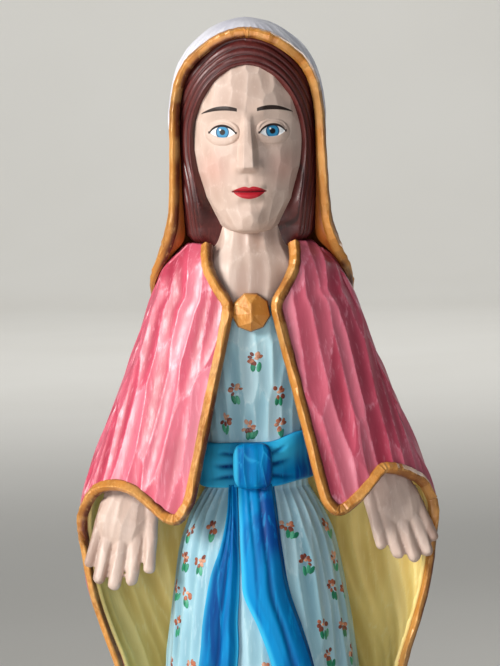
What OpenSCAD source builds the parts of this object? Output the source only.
// Carved and painted wooden madonna: a standing figure on a round plinth, built from
// separately carved blocks that are doweled, pegged and screwed together.
// +Z is up, the figure faces -Y, and the origin is the middle of the felt's underside.
// Left and right are the figure's own: its left hand is on the +X side.

/* [Figure] */
// Height of the carved figure, from the top of the plinth to the crown of the veil
figure_h = 284; // [240:4:330]

/* [Mantle and veil] */
// Thickness of the mantle's pink outer wall
mantle_wall = 2.2; // [1.8:0.1:2.6]
// Half the width of the gold border along the mantle's edges
mantle_trim_r = 1.75; // [1.4:0.05:2]
// Half the width of the gold border along the veil's edge
veil_trim_r = 1.9; // [1.5:0.1:2.2]

/* [Plinth] */
// Diameter of the plinth
plinth_d = 88; // [84:1:110]
// Height of the plinth without its felt
plinth_h = 14; // [12:1:24]
// Chamfer round the plinth's top edge
plinth_chamfer = 2.5; // [1:0.5:4]
// Thickness of the felt pad
felt_t = 2; // [1:0.5:3]
// Distance between the two plinth screws
screw_spacing = 30; // [24:1:36]
// Diameter of a plinth screw's shank
screw_d = 4; // [3:0.5:5]

/* [Dowels and pegs] */
// Diameter of the dowel in the waist
waist_dowel_d = 10; // [6:1:12]
// Diameter of the dowel in the neck
neck_dowel_d = 8; // [5:1:10]
// Diameter of the dowels in the shoulders
shoulder_dowel_d = 5; // [3:0.5:6]
// Diameter of the pegs in the wrists
wrist_peg_d = 4; // [3:0.5:5]
// Diameter of the pin behind the brooch
brooch_pin_d = 2; // [1.5:0.5:3]

/* [Hidden] */
$fn = 48;

// The tables below are drawn for a figure 284 mm high, and unit scales them.
drawn_h = 284;
unit = figure_h / drawn_h;
plinth_top = felt_t + plinth_h;
// Gap between two glued faces, and round a dowel in its bore
glue_gap = 0.1;
bore_gap = 0.05;

// Each row is [height, half width, depth in front, depth behind].
skirt_rows = [
    [0, 33.5, 31, 20], [24, 33.2, 29.6, 19.6], [48, 32.4, 28, 19.2], [89, 29.3, 24, 18.5],
    [109, 26.8, 21.6, 18], [125, 24, 19.2, 17], [134, 20.6, 16.8, 15], [140, 17, 14.4, 13.4],
    [142, 15.6, 13.4, 12.8]
];
bodice_rows = [
    [142, 15.2, 12.8, 12.5], [156, 14.9, 12.4, 12.4], [174, 16.6, 13.4, 14],
    [189, 17.6, 13.6, 14.5], [194, 16.8, 13, 14], [197, 14.5, 12.2, 12]
];
sash_rows = [[142.3, 17.3, 15, 13.5], [149, 16.9, 14.7, 13.4], [156.6, 16.7, 14.2, 13.5]];
knot_rows = [
    [142.6, 3, 1.6, 0.7], [144.2, 4.9, 3, 0.9], [149.5, 5.4, 3.6, 1], [154.8, 4.9, 3, 0.9],
    [156.4, 3, 1.6, 0.7]
];
neck_rows = [[197.1, 14.3, 12, 11.8], [204, 13.7, 11.6, 11], [212, 12.5, 10.6, 10.2], [224, 11.2, 9.2, 9.5]];
head_rows = [
    [218.8, 4, 11, 5], [220, 8, 14, 8.5], [224, 11.8, 15.4, 12], [229, 14.8, 16, 14],
    [236, 17, 16.6, 15], [244, 18.3, 17, 16], [252, 18.6, 17.1, 16.5], [260, 17.9, 16.9, 16.5],
    [268, 15.3, 15.4, 15], [274, 10.8, 12, 12], [277, 6, 7.5, 7.5], [278, 1, 1.4, 1.4]
];
hair_rows = [
    [216.5, 18.8, 11.5, 13], [224, 20.2, 12, 15.5], [236, 20.7, 11.6, 17], [252, 20.9, 11.6, 18.5],
    [262, 20, 13.4, 18.5], [269, 17.6, 15.2, 17.5], [275, 12.8, 14, 14], [279, 7.4, 9.6, 9.6],
    [281, 1.2, 1.6, 1.6]
];
veil_rows = [
    [172, 43.4, 24.2, 31.1], [187, 37.8, 21.5, 29.1], [202, 32.3, 18.8, 26.1], [210, 28.3, 18.6, 23.6],
    [216, 26, 18.8, 23], [223, 24.5, 19.2, 23], [232, 24, 19.6, 23.5], [244, 23.8, 20, 24],
    [257, 23.6, 20, 23.6], [267, 21.8, 19.4, 21.6], [274, 18.4, 17.2, 18.4], [279, 13.4, 13.6, 13.8],
    [282.4, 7.6, 8.2, 8], [284, 1.2, 1.3, 1.3]
];
mantle_rows = [
    [0, 41, 24, 36.6], [24, 40.2, 24, 35.6], [50, 39.6, 24, 34.8], [72, 41, 24.4, 34.2],
    [89, 45, 25, 33.6], [97, 47.8, 25.3, 33.3], [109, 51.7, 25.6, 33], [121, 54.2, 25.8, 32.5],
    [133, 55.1, 26.2, 32], [142, 53.4, 25.8, 31.3], [157, 47.8, 24, 30], [172, 41.6, 21.5, 28.5],
    [187, 35.7, 18.8, 26.5], [202, 30.3, 16.2, 23.5], [210, 25.9, 14.6, 21], [216, 19.4, 12.6, 16.6],
    [220, 14.4, 11, 12.8]
];
mantle_top = 216.2;
// Each row is [height, distance of the mantle's front edge from the middle].
front_edge_rows = [
    [134, 22.6], [137, 21.5], [142, 20], [154, 17.2], [174, 12.6], [193, 8.1], [198, 7.5],
    [203, 10.4], [209, 13.2], [216, 13.4], [220, 12.2]
];
// Each row is [height, angle of the mantle's side edge from straight ahead].
side_edge_rows = [[0, 95], [40, 92], [89, 85], [130, 78], [220, 78]];
// Each row is [share of the way from the side edge to the front edge, height of the hem there].
hem_left_rows = [
    [0, 136.6], [0.1, 142.4], [0.28, 145.8], [0.42, 147.4], [0.53, 147.6], [0.61, 145.6], [0.7, 142.6],
    [0.82, 138.8], [0.93, 136.2], [1, 136.8]
];
hem_right_rows = [
    [0, 134.4], [0.12, 141], [0.25, 143.8], [0.45, 144.6], [0.6, 143], [0.7, 140.6], [0.79, 138],
    [0.87, 135.6], [0.94, 134.6], [1, 135.6]
];
// The veil's front edge, as points from the middle of the forehead down to the shoulder
veil_edge_points = [
    [0, -15.4, 278], [6, -15.2, 276.8], [11.6, -14.6, 273], [16.6, -13, 266.6], [20, -10.6, 258.6],
    [21.8, -8, 250], [22.5, -6.6, 240], [22.8, -5.8, 230], [23.4, -5, 222.4], [24.9, -3.4, 216],
    [26.8, -0.4, 211], [28.8, 3.6, 206.6]
];
// The veil seen from the side, as [depth, height] points round its cut edges
veil_side_outline = [
    [-17, 290], [-15.4, 278], [-13, 266.6], [-10.6, 258.6], [-8, 250], [-6.6, 240], [-5.8, 230],
    [-5, 222.4], [-3, 216], [0.7, 211], [5.4, 206.6], [11.4, 200.6], [18.6, 191.6], [26, 182], [34, 174],
    [44, 174], [44, 290]
];
// Where the wrist meets the hand: distance from the middle, depth and height
wrist_at = [37.8, -4, 151];
wrist_tilt = -15;
wrist_peg_l = 14;
// Where the skirt meets the bodice, and the bodice the neck
waist_z = 142;
neck_z = 197;
brooch_at = [-0.4, -13.9, 195.4];
brooch_r = 5.4;

// ---- Shared functions ----

// The row of a table that lies at or just under a key
function segment(rows, key, i = 0) =
    i >= len(rows) - 2 || key < rows[i + 1][0] ? i : segment(rows, key, i + 1);
// A table's values at a key, on a smooth curve through its rows
function curve(rows, key) =
    let (
        i = segment(rows, key),
        last = len(rows) - 1,
        a = rows[max(i - 1, 0)], b = rows[i], c = rows[i + 1], d = rows[min(i + 2, last)],
        span = c[0] - b[0],
        t = min(max((key - b[0]) / span, 0), 1),
        from_slope = (c - a) * (span / (c[0] - a[0])),
        to_slope = (d - b) * (span / (d[0] - b[0])),
        t2 = t * t, t3 = t2 * t,
        whole = (2 * t3 - 3 * t2 + 1) * b + (t3 - 2 * t2 + t) * from_slope
            + (3 * t2 - 2 * t3) * c + (t3 - t2) * to_slope
    ) [for (k = [1:len(whole) - 1]) whole[k]];
// A value at a share of the way from a to b
function mix(a, b, share) = a + (b - a) * share;
// A point at an angle round a form, 0 being straight ahead and 90 the figure's left
function around(row, angle, z) =
    [row[0] * sin(angle), -(cos(angle) > 0 ? row[1] : row[2]) * cos(angle), z];
// Evenly spaced keys, both ends included
function steps(from, to, count) = [for (i = [0:count]) mix(from, to, i / count)];
// Two triangles in place of a four-sided face
function two_triangles(a, b, c, d) = [[a, b, c], [a, c, d]];

// ---- Shared solids ----

// A closed solid through rings of points, from the lowest ring to the highest
module loft(rings) {
    sides = len(rings[0]);
    top = (len(rings) - 1) * sides;
    walls = [
        for (i = [0:len(rings) - 2], j = [0:sides - 1])
            let (k = (j + 1) % sides)
                each two_triangles(i * sides + j, (i + 1) * sides + j, (i + 1) * sides + k, i * sides + k)
    ];
    polyhedron(
        [for (ring = rings) each ring],
        concat(walls, [[for (j = [0:sides - 1]) j]], [[for (j = [sides - 1:-1:0]) top + j]])
    );
}

// A closed shell between an outer and an inner grid of points of the same size
module shell(outer, inner) {
    rows = len(outer);
    columns = len(outer[0]);
    behind = rows * columns;
    function id(i, j) = i * columns + j;
    skin = [
        for (i = [0:rows - 2], j = [0:columns - 2])
            each two_triangles(id(i, j), id(i + 1, j), id(i + 1, j + 1), id(i, j + 1))
    ];
    back = [for (face = skin) [for (k = [2:-1:0]) face[k] + behind]];
    rim = concat(
        [for (j = [columns - 1:-1:1]) id(0, j)], [for (i = [0:rows - 2]) id(i, 0)],
        [for (j = [0:columns - 2]) id(rows - 1, j)], [for (i = [rows - 1:-1:1]) id(i, columns - 1)]
    );
    edge = [
        for (i = [0:len(rim) - 1])
            let (a = rim[i], b = rim[(i + 1) % len(rim)])
                each two_triangles(b, a, a + behind, b + behind)
    ];
    polyhedron(concat([for (row = outer) each row], [for (row = inner) each row]), concat(skin, back, edge));
}

// A rounded bead along a list of points
module bead(points, r) {
    for (i = [0:len(points) - 2])
        hull() {
            translate(points[i]) sphere(r, $fn = 8);
            translate(points[i + 1]) sphere(r, $fn = 8);
        }
}

// A form from a table: its rings are sides points round, at count even heights
module form(rows, sides, count, grow = 0) {
    loft([
        for (z = steps(rows[0][0], rows[len(rows) - 1][0], count))
            let (row = curve(rows, z) + [grow, grow, grow])
                [for (j = [0:sides - 1]) around(row, 360 * j / sides, z)]
    ]);
}

// What is carved to the tables, moved up onto the plinth and scaled to the figure's height
module figure() translate([0, 0, plinth_top]) scale(unit) children();
// Hardware of its own size, placed at a point of the tables
module fitted(at) translate([0, 0, plinth_top] + unit * at) children();
// A round peg of length l, centred on the origin. With room it is the bore that the peg sits in.
module peg(l, d, room = 0) cylinder(h = l + 20 * room, d = d + 2 * room, center = true);
module waist_peg(room = 0) fitted([0, 0, waist_z]) peg(44, waist_dowel_d, room);
module neck_peg(room = 0) fitted([0, 0, neck_z]) peg(29, neck_dowel_d, room);
module shoulder_peg(room = 0) fitted([18.5, 0, 189]) rotate([0, 90, 0]) peg(15, shoulder_dowel_d, room);
module brooch_peg(room = 0) fitted(brooch_at + [0, 1.6, -3]) rotate([90, 0, 0]) peg(7.4, brooch_pin_d, room);
// The children and their mirror image
module both_sides() {
    children();
    mirror([1, 0, 0]) children();
}

// ---- Plinth ----

module screw_places() for (side = [-1, 1]) translate([side * screw_spacing / 2, 0, 0]) children();

module plinth() color("saddlebrown") difference() {
    translate([0, 0, felt_t]) rotate_extrude($fn = 96) polygon([
        [0, 0], [plinth_d / 2, 0], [plinth_d / 2, plinth_h - plinth_chamfer],
        [plinth_d / 2 - plinth_chamfer, plinth_h], [0, plinth_h]
    ]);
    screw_places() {
        translate([0, 0, felt_t - 1]) cylinder(h = plinth_h + 2, d = screw_d + 2 * glue_gap);
        translate([0, 0, felt_t - 1]) cylinder(h = 5, d = 2 * screw_d + 1);
    }
}

module plinth_felt() color("darkgreen") cylinder(h = felt_t, d = plinth_d - 8, $fn = 96);

module plinth_screws() color("silver") screw_places() translate([0, 0, felt_t + 4 - screw_d / 2]) {
    difference() {
        cylinder(h = screw_d / 2, d = 2 * screw_d);
        translate([-screw_d, -0.5, -0.1]) cube([2 * screw_d, 1, 1.1]);
    }
    cylinder(h = 28, d = screw_d);
    translate([0, 0, 28]) cylinder(h = 5, d1 = screw_d, d2 = 0.6);
}

// ---- Dress ----

flutes = 11;
flute_depth = 0.8;
skirt_sides = 6 * flutes;
// The skirt's surface at an angle and a height, with folds that deepen towards the hem
function skirt_point(angle, z, grow = 0) =
    let (fold = flute_depth * (1 - z / waist_z) * cos(flutes * angle))
        around(curve(skirt_rows, z) + (fold + grow) * [1, 1, 1], angle, z);
// The angle at which the skirt reaches a distance from the middle
function skirt_angle(x, z) = asin(x / curve(skirt_rows, z)[0]);

module skirt() color("lightblue") difference() {
    figure() loft([
        for (z = concat(steps(0, 120, 7), [128, 134, 139, waist_z]))
            [for (j = [0:skirt_sides - 1]) skirt_point(360 * j / skirt_sides, z)]
    ]);
    waist_peg(bore_gap);
    screw_places() cylinder(h = plinth_top + 26, d = screw_d + 2 * bore_gap);
}

module bodice() color("lightblue") difference() {
    figure() form(bodice_rows, 36, 9);
    waist_peg(bore_gap);
    neck_peg(bore_gap);
    both_sides() shoulder_peg(bore_gap);
    brooch_peg(bore_gap);
}

module waist_dowel() color("burlywood") waist_peg();

// ---- Sash ----

module sash_band() color("royalblue") figure() difference() {
    form(sash_rows, 40, 4);
    loft([for (z = [140, 144, 148, 152, 156, 160])
        [for (j = [0:39]) around(curve(bodice_rows, z) + glue_gap * [1, 1, 1], 9 * j, z)]]);
}

module sash_knot() color("royalblue") figure() translate([-1.2, -16.2, 0]) form(knot_rows, 20, 8);

tail_end = 62;
tail_top = 141;
// Each row is [height, x of the tail's edge on the figure's right, x of its edge on the left]
tail_left_rows = [
    [62, 9, 21], [89, 3.2, 15.4], [102, -1, 11.9], [111, -4.9, 8.9], [118, -5.3, 7.6], [135, -5.5, 5.8],
    [141, -5.5, 4.8]
];
tail_right_rows = [
    [62, -23.5, -10.5], [89, -18.6, -7.4], [103, -16.8, -6.7], [117, -14.2, -6.1], [126, -11.1, -6.1],
    [135, -9.4, -6.1], [141, -8.6, -6.1]
];
tail_columns = 8;
// One tail, which lies on the skirt
module sash_tail(rows) {
    function tail_x(j, z) = let (row = curve(rows, z)) mix(row[0], row[1], j / tail_columns);
    function tail_z(j, z) = z > tail_end ? z : z - 0.9 * abs(j - tail_columns / 2);
    function tail_point(j, z, grow) = skirt_point(skirt_angle(tail_x(j, z), z), tail_z(j, z), grow);
    heights = steps(tail_end, tail_top, 12);
    figure() shell(
        [for (z = heights) [for (j = [0:tail_columns])
            tail_point(j, z, 2.4 - 0.12 * abs(j - tail_columns / 2))]],
        [for (z = heights) [for (j = [0:tail_columns]) tail_point(j, z, 0.5)]]
    );
}
module sash_tail_left() color("mediumblue") sash_tail(tail_left_rows);
module sash_tail_right() color("mediumblue") sash_tail(tail_right_rows);

// ---- Mantle ----

// The mantle's surface at an angle and a height, inset from its outer face
function mantle_point(angle, z, inset) = around(curve(mantle_rows, z) - inset * [1, 1, 1], angle, z);
function side_angle(z) = curve(side_edge_rows, z)[0];
function front_angle(z) = asin(curve(front_edge_rows, z)[0] / curve(mantle_rows, z)[0]);
// A point of a front panel: share goes from the side edge to the front edge, rise from the hem to the top
function panel_point(hem, share, rise, inset) =
    let (z = mix(curve(hem, share)[0], mantle_top, rise))
        mantle_point(mix(side_angle(z), front_angle(z), share), z, inset);

// How far an edge keeps from the middle of the border that runs along it
trim_room = mantle_trim_r / unit + 4 * glue_gap;
// The same, as an angle
function room_angle(angle, z, room) =
    let (row = curve(mantle_rows, z))
        room / norm([row[0] * cos(angle), row[angle < 90 ? 1 : 2] * sin(angle)]) * 180 / PI;
// How much longer a step along the hem or the front edge is than its share across or its rise
function hem_stretch(hem, share) =
    let (step = panel_point(hem, share + 0.05, 0, 0) - panel_point(hem, max(share - 0.05, 0), 0, 0))
        norm(step) / norm([step[0], step[1]]);
function front_stretch(z) =
    let (step = mantle_point(front_angle(z + 1), z + 1, 0) - mantle_point(front_angle(z - 1), z - 1, 0))
        norm(step) / step[2];
// Where the back ends at the side: against the border below the hand, and against the front panel above it
hand_z = 140;
function back_angle(z) = side_angle(z) + room_angle(side_angle(z), z, z < hand_z ? trim_room : glue_gap / 2);
function back_point(z, share, inset) = mantle_point(mix(back_angle(z), 360 - back_angle(z), share), z, inset);
back_heights = concat(steps(0, 132, 7), steps(136, mantle_top, 9));
back_columns = 20;

module mantle_back() color("palevioletred") figure() shell(
    [for (z = back_heights) [for (j = [0:back_columns]) back_point(z, j / back_columns, 0)]],
    [for (z = back_heights) [for (j = [0:back_columns]) back_point(z, j / back_columns, mantle_wall / unit)]]
);

// One front panel, inside the borders along its front edge and its hem
front_columns = 12;
module mantle_front(hem) {
    rises = steps(0, 1, 12);
    function front_point(share, rise, inset) =
        let (
            z = mix(curve(hem, share)[0] + trim_room * hem_stretch(hem, share), mantle_top, rise),
            from = side_angle(z) - room_angle(side_angle(z), z, glue_gap / 2),
            to = front_angle(z) + room_angle(front_angle(z), z, trim_room * front_stretch(z))
        ) mantle_point(mix(from, to, share), z, inset);
    figure() shell(
        [for (rise = rises) [for (j = [front_columns:-1:0]) front_point(j / front_columns, rise, 0)]],
        [for (rise = rises) [for (j = [front_columns:-1:0])
            front_point(j / front_columns, rise, mantle_wall / unit)]]
    );
}
module mantle_front_left() color("palevioletred") mantle_front(hem_left_rows);
module mantle_front_right() color("palevioletred") mirror([1, 0, 0]) mantle_front(hem_right_rows);

// The border's path: down the front edge, round the corner, over the hand, down the side edge
trim_inset = 0.9;
front_trim_heights = [215, 212, 208, 204, 200.5, 197.5, 194, 188, 180, 170, 160, 150, 144, 140];
hem_trim_shares = [0.97, 0.91, 0.84, 0.76, 0.68, 0.6, 0.52, 0.44, 0.36, 0.28, 0.2, 0.12, 0.04];
side_trim_heights = [129, 120, 108, 96, 84, 70, 56, 42, 28, 14, mantle_trim_r / unit];
module mantle_trim(hem) figure() bead(concat(
    [for (z = front_trim_heights) mantle_point(front_angle(z), z, trim_inset)],
    [for (share = hem_trim_shares) panel_point(hem, share, 0, trim_inset)],
    [for (z = side_trim_heights) mantle_point(side_angle(z), z, trim_inset)]
), mantle_trim_r / unit);
module mantle_trim_left() color("goldenrod") mantle_trim(hem_left_rows);
module mantle_trim_right() color("goldenrod") mirror([1, 0, 0]) mantle_trim(hem_right_rows);

// The yellow inner face: it lines the mantle's back from edge to edge and closes up against the dress behind
lining_gap = 1.4;
lining_edge = mantle_wall / unit + 1.5;
module mantle_lining() {
    heights = [for (z = back_heights) if (z < 196) z];
    function dress_back(z) = curve(z < waist_z ? skirt_rows : bodice_rows, z)[2];
    function lining_point(z, share) =
        let (
            row = curve(mantle_rows, z) - lining_edge * [1, 1, 1],
            face = [row[0], row[1], min(dress_back(z) + lining_gap, row[2])]
        ) around(face, mix(back_angle(z), 360 - back_angle(z), share), z);
    color("khaki") figure() shell(
        [for (z = heights) [for (j = [0:back_columns])
            back_point(z, j / back_columns, mantle_wall / unit + glue_gap)]],
        [for (z = heights) [for (j = [0:back_columns]) lining_point(z, j / back_columns)]]
    );
}

// ---- Arms and hands ----

// Places the children at a wrist, with the fingers towards -Z and the little finger outwards
module at_wrist(side) scale([side, 1, 1]) fitted(wrist_at) rotate([wrist_tilt, 0, 0]) children();

module arm(side) color("lightblue") difference() {
    scale([side, 1, 1]) figure() {
        hull() {
            translate([23.4, 0, 195]) sphere(5.8, $fn = 16);
            translate([28.2, -3.2, 172]) sphere(6.9, $fn = 16);
        }
        hull() {
            translate([28.2, -3.2, 172]) sphere(6.9, $fn = 16);
            translate([37.4, -4.2, 153]) sphere(6.6, $fn = 16);
        }
    }
    at_wrist(side) translate([-20, -20, -40 + glue_gap]) cube([40, 40, 40]);
    at_wrist(side) peg(wrist_peg_l, wrist_peg_d, bore_gap);
    scale([side, 1, 1]) shoulder_peg(bore_gap);
}
module arm_left() arm(1);
module arm_right() arm(-1);

module shoulder_dowels() color("burlywood") both_sides() shoulder_peg();

// Each finger is [root, tip, radius], thumb first. A point is [outwards, forwards, down] from the wrist.
fingers = [
    [[-5, -0.8, 9], [-2.2, -2.2, 27], 2], [[-2.4, -0.8, 16], [2.4, -1.4, 29.5], 2.1],
    [[2.2, -0.6, 17], [6.8, -1, 30.4], 2.2], [[6, 0, 16.5], [10.5, -0.2, 28.8], 2.1],
    [[8.6, 0.6, 15], [12.2, 0.4, 24.8], 1.7]
];
// The back of the hand: [outwards, forwards, down, radius] of the balls that it is stretched over
palm = [[-4.4, -0.4, 14, 3], [4, -0.6, 16.5, 3.1], [8.4, 0.6, 14.5, 2.4]];
function down(point, spread, lean) = [point[0] * spread + lean * point[2], point[1], -point[2]];
// A hand with its wrist's cut face at the origin: reach is its length and spread its width, both
// against the tables above, and lean is how far it swings outwards for each millimetre down
module hand(side, reach, spread, lean) color("rosybrown") at_wrist(side) difference() {
    scale([1, 1, reach] * unit) {
        hull() {
            translate([0, 0, -3]) scale([1.1, 0.62, 1]) cylinder(h = 3, r = 6, $fn = 24);
            for (p = palm) translate(down(p, spread, lean)) sphere(p[3], $fn = 12);
        }
        for (f = fingers) hull() {
            translate(down(f[0], spread, lean)) sphere(f[2] + 0.5, $fn = 12);
            translate(down(f[1], spread, lean)) sphere(f[2] - 0.35, $fn = 12);
        }
    }
    peg(wrist_peg_l, wrist_peg_d, bore_gap);
    translate([-20, -20, 0]) cube([40, 40, 10]);
}
module hand_left() hand(1, 1.04, 1.08, 0.05);
module hand_right() hand(-1, 1.24, 1.2, -0.075);

module wrist_peg(side) color("burlywood") at_wrist(side) peg(wrist_peg_l, wrist_peg_d);
module wrist_peg_left() wrist_peg(1);
module wrist_peg_right() wrist_peg(-1);

// ---- Brooch ----

// The brooch's flat back lies on the dress, and its front is cut in broad facets
module brooch() color("goldenrod") difference() {
    fitted(brooch_at) scale(unit) intersection() {
        scale([1, 0.8, 0.95]) rotate([90, 12, 0]) sphere(brooch_r, $fn = 12);
        translate([-10, -10, -10]) cube([20, 10, 20]);
    }
    brooch_peg(bore_gap);
}

module brooch_pin() color("burlywood") brooch_peg();

// ---- Head ----

module face_form(grow = 0) form(head_rows, 32, 15, grow);
module neck_form(grow = 0) form(neck_rows, 28, 4, grow);
module nose_form() hull() {
    translate([0, -16.4, 250]) sphere(1.1, $fn = 16);
    translate([0, -18.8, 237.4]) sphere(1.9, $fn = 16);
    for (x = [-2.4, 2.4]) translate([x, -16.6, 236.8]) sphere(1.4, $fn = 16);
}

module head() color("tan") difference() {
    figure() union() {
        face_form();
        neck_form();
        nose_form();
    }
    neck_peg(bore_gap);
}

module neck_dowel() color("burlywood") neck_peg();

module hair_form(grow = 0) form(hair_rows, 32, 12, grow);
// The hair parts below the chin, so that its ends hang at both sides of the neck
module hair() color("brown") figure() difference() {
    hair_form();
    face_form(glue_gap);
    neck_form(glue_gap);
    translate([-11.6, -20, 210]) cube([23.2, 17, 14.6]);
}

// ---- Veil ----

function mirrored(point) = [-point[0], point[1], point[2]];
veil_trim_path = concat(
    [for (i = [len(veil_edge_points) - 1:-1:1]) mirrored(veil_edge_points[i])],
    veil_edge_points
);
module veil_bead() bead(veil_trim_path, veil_trim_r / unit);

// The inside of the veil lies on the hair and on the mantle's shoulders
module under_veil() {
    hair_form(glue_gap);
    face_form(glue_gap);
    loft([for (z = concat([for (z = back_heights) if (z > 160) z], [218, 220]))
        [for (j = [0:39]) mantle_point(9 * j, z, -2 * glue_gap)]]);
}

module veil() color("white") figure() difference() {
    intersection() {
        form(veil_rows, 36, 18);
        rotate([90, 0, 90]) translate([veil_trim_r / unit + glue_gap, 0, -50])
            linear_extrude(100) polygon(veil_side_outline);
    }
    under_veil();
}

module veil_trim() color("goldenrod") figure() difference() {
    veil_bead();
    under_veil();
}

plinth();
plinth_felt();
plinth_screws();
skirt();
bodice();
waist_dowel();
sash_band();
sash_knot();
sash_tail_left();
sash_tail_right();
mantle_back();
mantle_front_left();
mantle_front_right();
mantle_lining();
mantle_trim_left();
mantle_trim_right();
arm_left();
arm_right();
shoulder_dowels();
hand_left();
hand_right();
wrist_peg_left();
wrist_peg_right();
brooch();
brooch_pin();
head();
neck_dowel();
hair();
veil();
veil_trim();
